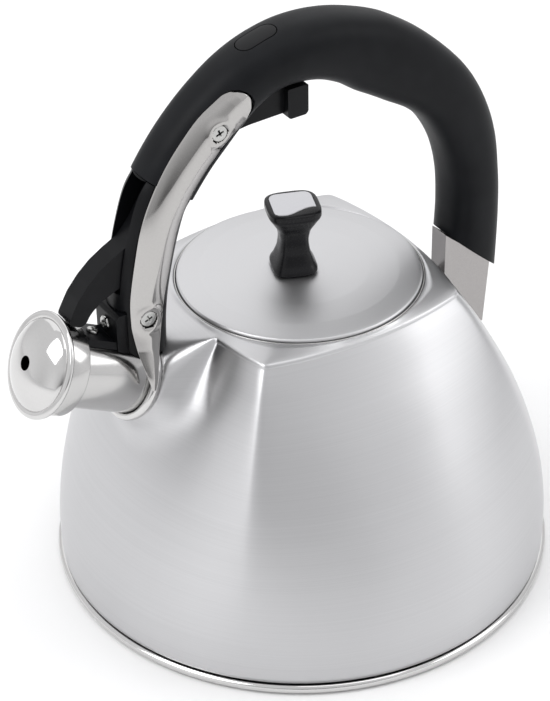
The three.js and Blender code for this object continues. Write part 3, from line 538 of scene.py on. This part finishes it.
def body_shell():
    """The wall with its pressed nose and shoulder, blended by a smooth minimum along each ray."""
    heights = np.concatenate([
        np.linspace(WALL[0][0], 96, 60), np.linspace(97, 128, 46), np.linspace(128.3, SHOULDER_Z, 34),
    ])
    sides = 432
    angles = 2 * math.pi * np.arange(sides) / sides
    corner, middle = smooth_column(1, heights), smooth_column(2, heights)
    planes = nose_planes()
    rings = []
    for z, c, m in zip(heights, corner, middle):
        over = max(0, z - (SHOULDER_Z - 1.8)) / 1.8
        inset = SHOULDER_INSET * (1 - math.sqrt(max(0, 1 - over ** 2)))
        wall = wall_radius(angles, c, m, z) - inset
        fillet = 7 - 6.4 * min(1, max(0, (z - 112) / 20))
        low, high = wall - 1, np.full(sides, 112.0)
        reach = np.stack([np.cos(angles), np.sin(angles)], 1)

        def inside(r):
            points = np.column_stack([reach * r[:, None], np.full(sides, z)])
            nose = np.min(planes[None, :, 3] - points @ planes[:, :3].T, axis=1)
            body = wall - r
            mix = np.clip(0.5 + 0.5 * (nose - body) / fillet, 0, 1)
            return body * (1 - mix) + nose * mix + fillet * mix * (1 - mix)

        for _ in range(22):
            centre = (low + high) / 2
            hit = inside(centre) > 0
            low, high = np.where(hit, centre, low), np.where(hit, high, centre)
        away = np.cos(angles) > -0.55
        radius = np.where(away, wall, (low + high) / 2)
        rings.append([(r * math.cos(a), r * math.sin(a), z) for r, a in zip(radius, angles)])
    top = rings[-1]
    for share in (0.35, 0.7, 1.0):
        ring = []
        for (x, y, z), a in zip(top, angles):
            r = math.hypot(x, y) * (1 - share) + OPENING_RADIUS * share
            ring.append((r * math.cos(a), r * math.sin(a), SHOULDER_Z + (TOP_Z - SHOULDER_Z) * share))
        rings.append(ring)
    obj = loft("body_wall", rings, sharp=70, ends=False)
    work = bmesh.new()
    work.from_mesh(obj.data)
    axis = (spout_point(1) - spout_point(0)).normalized()
    doomed = []
    for face in work.faces:
        offset = face.calc_center_median() * 1000 - MOUTH
        along = offset.dot(axis)
        if (offset - axis * along).length < TUBE_RADIUS + 0.2 and 44 < along < 56:
            doomed.append(face)
    bmesh.ops.delete(work, geom=doomed, context="FACES")
    work.to_mesh(obj.data)
    work.free()
    sheet = obj.modifiers.new("sheet", "SOLIDIFY")
    sheet.thickness = 0.0009
    sheet.offset = -1
    return apply_all(obj)


finish(body_shell(), BODY, "kettle", "body_steel", "body_shell")

# ------------------------------------------------------------------ base, neck
finish(turned("base_ring", rounded([
    (60, 4.5), (105.2, 4.5), (105.2, 1.6), (106.2, 0.75), (108.6, 0.75), (109.7, 1.6), (109.98, 2.9),
    (109.6, 4.0), (108.6, 4.6), (107.2, 4.7), (106.6, 5.3), (60, 5.3),
], 0.5, 3) + [(0, 5.3), (0, 4.5)], 256), POLISHED, "kettle", "polished_steel", "base_pan")
finish(turned("base_disc", [(0, 0)] + rounded([
    (90, 0.02), (96.2, 0.02), (97.38, 1.2), (97.38, 4.2), (96.7, 4.2), (96.7, 1.5), (95.9, 0.7), (90, 0.7),
], 0.5, 3) + [(0, 0.7)], 192), UNDER, "kettle", "body_steel", "base_capsule")
dress("base_core", CORE)
finish(turned("neck_ring", rounded([
    (52.6, 137.8), (52.6, 135.4), (49.2, 135.4), (49.2, 128.5), (48.6, 128.5), (48.6, 136.0), (52.0, 136.0),
    (52.0, 137.8),
], 0.5, 3), 192), SATIN, "kettle", "satin_steel", "filler_neck")


# ------------------------------------------------------------------ spout, collar, cap
def on_spout(profile):
    """Turns (radius, distance into the body) into (radius, height) in the spout's frame."""
    return [(r, -distance) for r, distance in profile]


finish(turned("spout_pipe", on_spout(rounded([
    (14.7, 4.6), (15.0, 4.0), (15.5, 4.5), (15.5, 53), (14.7, 53),
], 0.25, 3)), 96, SPOUT_FRAME), SATIN, "kettle", "satin_steel", "spout_tube")
finish(turned("spout_ring", on_spout(rounded([
    (15.55, 43.0), (17.0, 42.6), (18.2, 43.5), (18.6, 44.8), (18.2, 46.2), (17.2, 47.0), (15.55, 47.0),
], 1.2, 4)), 96, SPOUT_FRAME), POLISHED, "kettle", "polished_steel", "spout_collar")


def cap_dome(radii, sheet=0.0):
    """The cap's domed front, or its back when a sheet thickness is given."""
    height, reach, fullness = 7.7, 20.3, 3.04
    return [(r, sheet - height * (1 - (r / reach) ** fullness)) for r in radii]


STEAM_HOLE, DOME_OUTSIDE, DOME_INSIDE = 3.0, 18.3, 16.4
cap_rim = rounded([
    (19.0, -1.5), (20.2, -1.55), (21.2, -1.45), (21.78, -0.9), (21.78, 0.1), (21.2, 0.8), (20.6, 0.9),
    (18.9, 0.6), (18.2, -0.8),
], 0.9, 3)
cap_profile = cap_dome(np.linspace(STEAM_HOLE, DOME_OUTSIDE, 26)) + cap_rim
cap_profile += cap_dome(np.linspace(DOME_INSIDE, STEAM_HOLE, 12), 1.0)
finish(turned("whistle_cap", on_spout(cap_profile), 128, SPOUT_FRAME), POLISHED,
       "whistle", "polished_steel", "cap_shell")
finish(turned("whistle_skirt", on_spout(rounded([
    (19.5, 1.3), (19.5, 9.7), (19.2, 10.0), (18.8, 9.7), (18.8, 2.1), (10, 2.1), (10, 1.3),
], 0.3, 3)), 128, SPOUT_FRAME), SATIN, "whistle", "satin_steel", "cap_skirt")
for node in ("whistle_disc_front", "whistle_disc_back"):
    dress(node, SATIN)
dress("mouth_seal", SILICONE)
dress("cap_rivet", SCREW)


# ------------------------------------------------------------------ screws
BOX_FACES = [[0, 1, 2, 3], [7, 6, 5, 4], [0, 4, 5, 1], [1, 5, 6, 2], [2, 6, 7, 3], [3, 7, 4, 0]]


def phillips(name, profile, place, width, depth, top):
    """A turned screw with a cross recess in its head, whose face is at the given height."""
    head = turned(name, profile, 48, place)
    cutters = []
    for turn in (0.35, 0.35 + math.pi / 2):
        verts = []
        for z, half, thick in ((top - depth, width * 0.55, 0.28), (top + 0.4, width * 1.08, 0.46)):
            for x, y in ((-half, -thick), (half, -thick), (half, thick), (-half, thick)):
                spun = Matrix.Rotation(turn, 4, "Z") @ Vector((x, y, z))
                verts.append(place @ spun)
        cutters.append(made("cutter", verts, BOX_FACES, smooth=False))
    return carve(head, cutters)


def countersunk(radius):
    """Profile of a countersunk screw, its flat face at height 0."""
    return rounded([
        (0, 0), (radius - 0.5, 0), (radius, -0.5), (1.5, -2.4), (1.5, -8.0), (1.0, -8.6), (0, -8.6),
    ], [0, 0.5, 0.4, 0.3, 0, 0, 0], 4)


def pan_head(radius, height, length):
    """Profile of a domed screw, its head standing on height 0."""
    head = [(radius * math.sin(a), height * (0.35 + 0.65 * math.cos(a)))
            for a in np.linspace(0, math.pi / 2, 8)]
    return head + [(radius, 0), (1.5, 0), (1.5, -length), (0, -length)]


for level, (px, pz) in (("upper", PIVOT), ("lower", LOWER_PIN)):
    for end, side in (("near", -1), ("far", 1)):
        place = Matrix.Translation((px, side * SCREW_FACE, pz))
        place = place @ Matrix.Rotation(-side * math.pi / 2, 4, "X")
        finish(phillips(f"screw_{level}_{end}", countersunk(3.7), place, 1.9, 1.2, 0), SCREW, "kettle",
               "screw_steel", f"arm_screw_{level}_{end}")
PAN_HEIGHT = 1.6
low, high = box_mm("leg_screw")
place = Matrix.Translation((low[0] + PAN_HEIGHT, 0, (low[2] + high[2]) / 2))
place = place @ Matrix.Rotation(-math.pi / 2, 4, "Y")
finish(phillips("screw_leg", pan_head(3.0, PAN_HEIGHT, 7), place, 1.7, 1.0, PAN_HEIGHT), SCREW, "kettle",
       "screw_steel", "leg_screw")
place = SPOUT_FRAME @ Matrix.Translation((FOOT_TOP + GAP, 0, -17.4)) @ Matrix.Rotation(math.pi / 2, 4, "Y")
finish(phillips("screw_saddle", pan_head(2.5, 1.5, 1.4), place, 1.4, 0.9, 1.5), SCREW, "kettle",
       "screw_steel", "saddle_screw")
low, high = box_mm("rear_screw")
place = Matrix.Translation((high[0] - PAN_HEIGHT, 0, (low[2] + high[2]) / 2))
place = place @ Matrix.Rotation(math.pi / 2, 4, "Y")
finish(phillips("screw_rear", pan_head(3.4, PAN_HEIGHT, 7), place, 1.9, 1.0, PAN_HEIGHT), SCREW, "kettle",
       "screw_steel", "rear_screw")
for node in ("pivot_barrel", "lower_barrel", "lever_spring", "knob_washer", "knob_screw"):
    dress(node, SCREW)


# ------------------------------------------------------------------ side arms
def arm_crown(share, half):
    """How far the arm's outside bulges at a share of its half width."""
    return ARM_CROWN * (1 - abs(share) ** 1.7) * min(1, half / 8)


def side_arm(name, side):
    """A crowned steel strip along the arm's curve, dished round its two screws, front edge rolled in."""
    place, normal, size = (rows[2:] for rows in spline(ARM, 200))
    across = 32
    verts, faces = [], []
    for p, n, (a, b, c) in zip(place, normal, size):
        for k in range(across + 1):
            share = 2 * k / across - 1
            x, z = p[0] + n[0] * a * share, p[1] + n[1] * a * share
            crown = arm_crown(share, a)
            ring = 0.0
            for px, pz in (PIVOT, LOWER_PIN):
                d = math.hypot(x - px, z - pz)
                ring = max(ring, math.exp(-((d - HOLE_DISH) / 1.1) ** 2) * 0.45)
                if d < HOLE_DISH:
                    crown = crown * min(1, d / HOLE_DISH) + 1.6 * (1 - min(1, d / HOLE_DISH))
            rolled = c * max(0, share) ** 2
            verts.append((x, side * (b + crown + ring - rolled + 1.0), z))
    row = across + 1
    for i in range(len(place) - 1):
        for k in range(across):
            quad = [i * row + k, i * row + k + 1, (i + 1) * row + k + 1, (i + 1) * row + k]
            centre = np.mean([verts[q] for q in quad], axis=0)
            if all(math.hypot(centre[0] - px, centre[2] - pz) > 3.75 for px, pz in (PIVOT, LOWER_PIN)):
                faces.append(quad)
    obj = made(name, verts, faces, sharp=60)
    outward = sum((f.normal.y * f.area for f in obj.data.polygons)) * side
    if outward < 0:
        obj.data.flip_normals()
    sheet = obj.modifiers.new("sheet", "SOLIDIFY")
    sheet.thickness = 0.001
    sheet.offset = -1
    edge = obj.modifiers.new("edge", "BEVEL")
    edge.width = 0.00028
    edge.segments = 2
    edge.limit_method = "ANGLE"
    edge.angle_limit = math.radians(50)
    return apply_all(obj)


for end, side in (("near", -1), ("far", 1)):
    arm = side_arm(f"arm_{end}", side)
    arm.data.shade_smooth()
    arm.data.set_sharp_from_angle(angle=math.radians(50))
    finish(arm, ARM_STEEL_PAINTED_SHADE, "kettle", "polished_steel", f"side_arm_{end}")


# ------------------------------------------------------------------ grip, leg, button
def on_button(v):
    """A point given along the button's own tilted axis."""
    turn = Matrix.Rotation(-BUTTON_TILT, 4, "Y")
    return Matrix.Translation((BUTTON_AT[0], 0, BUTTON_AT[1])) @ turn @ Vector(v)


def button_prism(name, length, width, low, high, corner=4.0):
    """A rounded rectangle standing on the button's axis, between two heights."""
    outline = rounded([(-length / 2, -width / 2), (length / 2, -width / 2), (length / 2, width / 2),
                       (-length / 2, width / 2)], corner, 8)
    return loft(name, [[on_button((x, y, z)) for x, y in outline] for z in (low, high)])


def arm_room(side):
    """The space that an arm takes out of the grip and the leg."""
    place, normal, size = spline(ARM, 60)
    rings = []
    for p, n, (a, b, c) in zip(place, normal, size):
        ring = []
        for depth, order in ((5.0, range(-6, 7)), (-GAP, range(6, -7, -1))):
            for k in order:
                share = k / 6
                out = b + arm_crown(share, a) - c * max(0, share) ** 2 + depth
                ring.append((p[0] + n[0] * (a + GAP) * share, side * out, p[1] + n[1] * (a + GAP) * share))
        rings.append(ring)
    return loft("cutter", rings)


grip = rounded_bar("handle", GRIP, 240)
carve(grip, [
    plate("cutter", [(70, 135.8), (102, 107.4), (102, 90), (60, 90), (60, 135.8)], 20, 0),
    plate("cutter", [(79.5, 104), (79.5, 152), (94.5, 152), (94.5, 104)], 5.7, 0),
    plate("cutter", rounded(SLOT, 4), SLOT_HALF, 0),
    button_prism("cutter", *POCKET_SIZE, POCKET_FLOOR, 8, 4.3),
    button_prism("cutter", 2 * (STEM_HALF + GAP), 2 * (STEM_HALF + GAP), -30, -5, 0.3),
    rod("cutter", (96.4, 0, 134), (104, 0, 134), 3.9),
    arm_room(-1), arm_room(1),
])
finish(grip, GRIP_BLACK, "kettle", "grip_black", "handle_grip")

button = rounded_bar("press_button", GRIP, 240)
carve(button, [button_prism("cutter", *BUTTON_SIZE, BUTTON_UNDERSIDE, 8)], "INTERSECT")
stem_corners = [(x * STEM_HALF, y * STEM_HALF) for x, y in ((-1, -1), (1, -1), (1, 1), (-1, 1))]
stem_ends = (STEM_TIP, BUTTON_UNDERSIDE + 0.2)
stem = made("stem", [on_button((x, y, z)) for z in stem_ends for x, y in stem_corners], BOX_FACES)
carve(button, [stem], "UNION", bevel=0.25)
finish(button, HARD, "button", "grip_black", "thumb_button")


def spout_room():
    """The tube, the collar and the nose, a little enlarged, as cutters."""
    tube = turned("cutter", on_spout([(0, -10), (15.8, -10), (15.8, 70), (0, 70)]), 64, SPOUT_FRAME)
    ring = turned("cutter", on_spout([(0, 42.3), (18.9, 42.3), (18.9, 47.6), (0, 47.6)]), 64, SPOUT_FRAME)
    cone = []
    for distance, radius in ((47.2, 17.6), (62, 28)):
        cone.append([spout_point(distance, radius * math.cos(a), radius * math.sin(a))
                     for a in np.linspace(0, 2 * math.pi, 64, endpoint=False)])
    return [tube, ring, loft("cutter", cone)]


leg = rounded_bar("handle_leg", LEG, 90)
carve(leg, [
    plate("cutter", rounded(SLOT, 4), SLOT_HALF, 0),
    plate("cutter", [(-110, 125), (-110, 154.4), (-86.4, 154.4), (-86.4, 125)], 30, 0),
    arm_room(-1), arm_room(1), *spout_room(),
], bevel=0.3)
finish(leg, HARD, "kettle", "hard_black", "front_leg")

# ------------------------------------------------------------------ saddle
upright = plate("upright", rounded([
    (-86.8, 130), (-86.8, 154.0), (-90.4, 154.0), (-91.6, 152.4), (-91.6, 130),
], [0, 0.3, 1.2, 1.2, 0], 4), 8.4, 0)
foot_corners = [(11, 10), (11, FOOT_TOP - 1), (12, FOOT_TOP), (38, FOOT_TOP), (38, 10)]
foot = plate("foot", [(spout_point(d, u).x, spout_point(d, u).z) for d, u in foot_corners], 7.6, 0)
carve(upright, [foot], "UNION")
carve(upright, [plate("cutter", [(-86.8, 120), (-86.8, 160), (-70, 160), (-70, 120)], 20, 0), *spout_room()],
      bevel=0.45)
finish(upright, HARD, "kettle", "hard_black", "spout_saddle")

# ------------------------------------------------------------------ lever
lever = plate("lever", rounded(LEVER, 9, 5), LEVER_HALF, 0)
block = plate("block", rounded([
    (0, 230.2), (-9.6, 230.2), (-9.6, 218.0), (-8.4, 217.0), (-1.2, 217.0), (0, 218.2),
], [0.5, 0.5, 1, 1, 1, 1], 3), 8, 0)
carve(lever, [block], "UNION")
carve(lever, [rod("cutter", (PIVOT[0], -20, PIVOT[1]), (PIVOT[0], 20, PIVOT[1]), 3.3)], bevel=0.7)
finish(lever, HARD, "whistle", "hard_black", "whistle_lever")


# ------------------------------------------------------------------ rear bracket
def rear_bracket():
    """A bent channel that stands off the wall and runs up into the grip."""
    heights = np.linspace(80, 111, 12)
    outline = [(middle + 0.45, z) for z, middle in zip(heights, smooth_column(2, heights))]
    outline += [(72.6, 111), (72.6, 133.0), (80.0, 126.6), (80.0, 150), (94, 150), (94, 114.4), (97.4, 111.4),
                (95.0, 80)]
    solid = plate("bracket", outline, 5, 0)
    hollow = plate("cutter", [
        (60, 60), (60, 108), (73.8, 108), (73.8, 130.4), (81.2, 123.9), (81.2, 160), (92.8, 160),
        (92.8, 112.6), (96.2, 109.8), (93.8, 78), (90, 60),
    ], 3.8, 0)
    return carve(solid, [hollow], bevel=0.3)


finish(rear_bracket(), PLATE, "kettle", "polished_steel", "rear_bracket")

# ------------------------------------------------------------------ lid and knob
lid_profile = [
    (0.5, 142.18), (16, 142.18), (30, 141.55), (42, 140.4), (49.2, 139.3), (51.1, 139.0), (51.6, 138.4),
    (51.6, 136.3), (50.4, 136.3), (50.4, 137.2), (48.8, 138.4), (30, 140.7), (16, 141.4), (0.5, 141.4),
]
lid = turned("lid_disc", [(0, 142.18)] + rounded(lid_profile, 0.4, 3) + [(0, 141.4)], 256, sharp=30)
carve(lid, [rod("cutter", (KNOB_AT, 0, 135), (KNOB_AT, 0, 150), 2.4)], sharp=30)
finish(lid, LID, "lid", "lid_steel", "lid_plate")
skirt_profile = rounded([(47.9, 137.9), (47.9, 124), (47.2, 124), (47.2, 137.9)], 0.3, 2)
finish(turned("lid_collar", skirt_profile, 192), SATIN, "lid", "satin_steel", "lid_skirt")
KNOB_TURN = Matrix.Translation((KNOB_AT, 0, 0)) @ Matrix.Rotation(math.radians(-21), 4, "Z")


def smooth_rows(rows, count):
    """More rows of (height, half length, half width), on a smooth curve through the given ones."""
    place, _, size = spline([(row[0], 0.0, row[1], row[2]) for row in rows], count)
    return [(p[0], s[0], s[1]) for p, s in zip(place, size)]


def knob_form():
    """The waisted knob, with a soft rectangular section."""
    rings = []
    for z, a, b in smooth_rows(KNOB, 60):
        ring = []
        for j in range(64):
            t = 2 * math.pi * j / 64
            c, s = math.cos(t), math.sin(t)
            x = a * math.copysign(abs(c) ** 0.55, c)
            y = b * math.copysign(abs(s) ** 0.55, s)
            ring.append(KNOB_TURN @ Vector((x, y, z)))
        rings.append(ring)
    return loft("knob", rings, sharp=50)


def bezier(p0, p1, p2, p3, steps):
    """Points on a cubic curve."""
    p0, p1, p2, p3 = (np.array(p, float) for p in (p0, p1, p2, p3))
    return [tuple((1 - t) ** 3 * p0 + 3 * t * (1 - t) ** 2 * p1 + 3 * t * t * (1 - t) * p2 + t ** 3 * p3)
            for t in np.linspace(0, 1, steps + 1)]


def inlay_outline(grow):
    """The metal inlay's rounded outline, seen from above, made larger by grow."""
    x, back, front = 9.0 + grow, 8.8 + grow, -8.4 - grow
    points = bezier((x - 4.2, back), (x - 1.4, back), (x, back - 1.4), (x, back - 4.2), 8)
    points += bezier((x, front + 4.2), (x - 6, front + 5.4), (-x + 8, front - 0.6), (-x + 3.6, front), 16)
    points += bezier((-x + 3.6, front), (-x + 1.2, front), (-x, front + 1.1), (-x, front + 3.2), 8)[1:]
    points += bezier((-x, back - 4.2), (-x, back - 1.4), (-x + 1.4, back), (-x + 4.2, back), 8)
    return points


def inlay_form(name, grow, low, high):
    """The inlay, or the recess that it lies in, between two heights."""
    return loft(name, [[KNOB_TURN @ Vector((x, y, z)) for x, y in inlay_outline(grow)] for z in (low, high)])


knob = carve(knob_form(), [inlay_form("cutter", 0.15, 171.2, 174),
                          rod("cutter", (KNOB_AT, 0, 140), (KNOB_AT, 0, 158), 2.3)],
             bevel=0.12, sharp=50)
finish(knob, KNOB_BLACK, "lid", "hard_black", "lid_knob")
inlay = inlay_form("knob_badge", 0, 171.4, 172.35)
edge = inlay.modifiers.new("edges", "BEVEL")
edge.width, edge.segments, edge.limit_method = 0.00025, 3, "ANGLE"
finish(inlay, BADGE, "lid", "satin_steel", "knob_inlay")

# ------------------------------------------------------------------ floor, light, camera
FLOOR_HALF = 4000
floor_corners = [(x * FLOOR_HALF, y * FLOOR_HALF, 0) for x, y in ((-1, -1), (1, -1), (1, 1), (-1, 1))]
floor = made("floor", floor_corners, [[0, 1, 2, 3]])
material, tree, shader = nodes_of("studio_floor")
shader.inputs["Base Color"].default_value = (0.93, 0.93, 0.93, 1)
shader.inputs["Roughness"].default_value = 0.9
floor.data.materials.append(material)

world = bpy.data.worlds.new("studio")
bpy.context.scene.world = world
world.use_nodes = True


# (compass direction in degrees, strength of the light that comes from there)
WALL_LIGHT = [(-180, 0.75), (-140, 0.95), (-100, 0.75), (-72, 1.0), (-52, 0.45), (-30, 0.05), (-8, 0.22),
              (18, 0.80), (50, 1.0), (80, 0.4), (105, 0.75), (140, 0.90), (180, 0.75)]


def studio_walls(tree):
    """A pale room, darker where no screen stands: strength by compass direction and by height."""
    where = tree.nodes.new("ShaderNodeTexCoord").outputs["Generated"]
    split = tree.nodes.new("ShaderNodeSeparateXYZ")
    tree.links.new(where, split.inputs[0])
    x, y, z = split.outputs
    compass = maths(tree, "ARCTAN2", x, maths(tree, "MULTIPLY", y, -1.0))
    turn = maths(tree, "ADD", maths(tree, "MULTIPLY", compass, 1 / (2 * math.pi)), 0.5)
    ramp = tree.nodes.new("ShaderNodeValToRGB")
    ramp.color_ramp.interpolation = "EASE"
    stops = [(azimuth / 360 + 0.5, level) for azimuth, level in WALL_LIGHT]
    for place, level in stops[1:-1]:
        ramp.color_ramp.elements.new(place).color = (level, level, level, 1)
    for element, (place, level) in zip((ramp.color_ramp.elements[0], ramp.color_ramp.elements[-1]),
                                       (stops[0], stops[-1])):
        element.position = place
        element.color = (level, level, level, 1)
    tree.links.new(turn, ramp.inputs[0])
    overhead = spread(tree, z, 0.15, 0.92, 0.0, 0.5)
    mixed = tree.nodes.new("ShaderNodeMix")
    tree.links.new(overhead, mixed.inputs["Factor"])
    tree.links.new(ramp.outputs[0], mixed.inputs["A"])
    mixed.inputs["B"].default_value = 0.85
    tree.links.new(mixed.outputs["Result"], tree.nodes["Background"].inputs["Strength"])
    tree.nodes["Background"].inputs["Color"].default_value = (0.99, 0.99, 1.0, 1)


studio_walls(world.node_tree)


LAMP_TARGET_Z = 0.12


def direction(azimuth, elevation):
    """The unit vector from the kettle towards a compass direction and a height, in degrees."""
    a, e = math.radians(azimuth), math.radians(elevation)
    return Vector((math.sin(a) * math.cos(e), -math.cos(a) * math.cos(e), math.sin(e)))


def softbox(name, azimuth, elevation, distance, size, power):
    """A rectangular lamp, in metres, that looks at the kettle's middle."""
    way = direction(azimuth, elevation)
    lamp = bpy.data.lights.new(name, "AREA")
    lamp.shape = "RECTANGLE"
    lamp.size, lamp.size_y = size
    lamp.energy = power
    obj = bpy.data.objects.new(name, lamp)
    obj.location = way * distance + Vector((0, 0, LAMP_TARGET_Z))
    obj.rotation_euler = (-way).to_track_quat("-Z", "Y").to_euler()
    bpy.context.scene.collection.objects.link(obj)


softbox("key", -95, 50, 1.7, (0.9, 0.9), 9)
softbox("fill", 55, 35, 1.9, (0.8, 1.2), 5)
softbox("back", 147, 44, 1.8, (2.4, 1.7), 5)
softbox("top", 60, 78, 1.8, (1.2, 0.9), 3)

CAMERA_AZIMUTH, CAMERA_RISE, CAMERA_DISTANCE = -33.0, 39.71, 1.0035
CAMERA_PAN, CAMERA_TILT, CAMERA_ROLL = 0.65, 4.57, 0.48      # degrees away from looking at the origin
SENSOR = 36
FOCAL_LENGTH, IMAGE_HEIGHT = 2200, 701                       # both in image points
away = direction(CAMERA_AZIMUTH, CAMERA_RISE)
camera = bpy.data.objects.new("camera", bpy.data.cameras.new("camera"))
bpy.context.scene.collection.objects.link(camera)
camera.location = away * CAMERA_DISTANCE
forward = -away
right = forward.cross(Vector((0, 0, 1))).normalized()
up = right.cross(forward)
turn = Matrix.Rotation(math.radians(CAMERA_PAN), 3, up)
forward, right = turn @ forward, turn @ right
turn = Matrix.Rotation(math.radians(CAMERA_TILT), 3, right)
forward, up = turn @ forward, turn @ up
turn = Matrix.Rotation(math.radians(CAMERA_ROLL), 3, forward)
right, up = turn @ right, turn @ up
camera.rotation_euler = Matrix((right, up, -forward)).transposed().to_euler()
camera.data.sensor_width = SENSOR
camera.data.lens = SENSOR * FOCAL_LENGTH / IMAGE_HEIGHT
camera.data.clip_end = 20
bpy.context.scene.camera = camera
bpy.context.scene.view_settings.view_transform = "Standard"

bpy.context.view_layer.update()
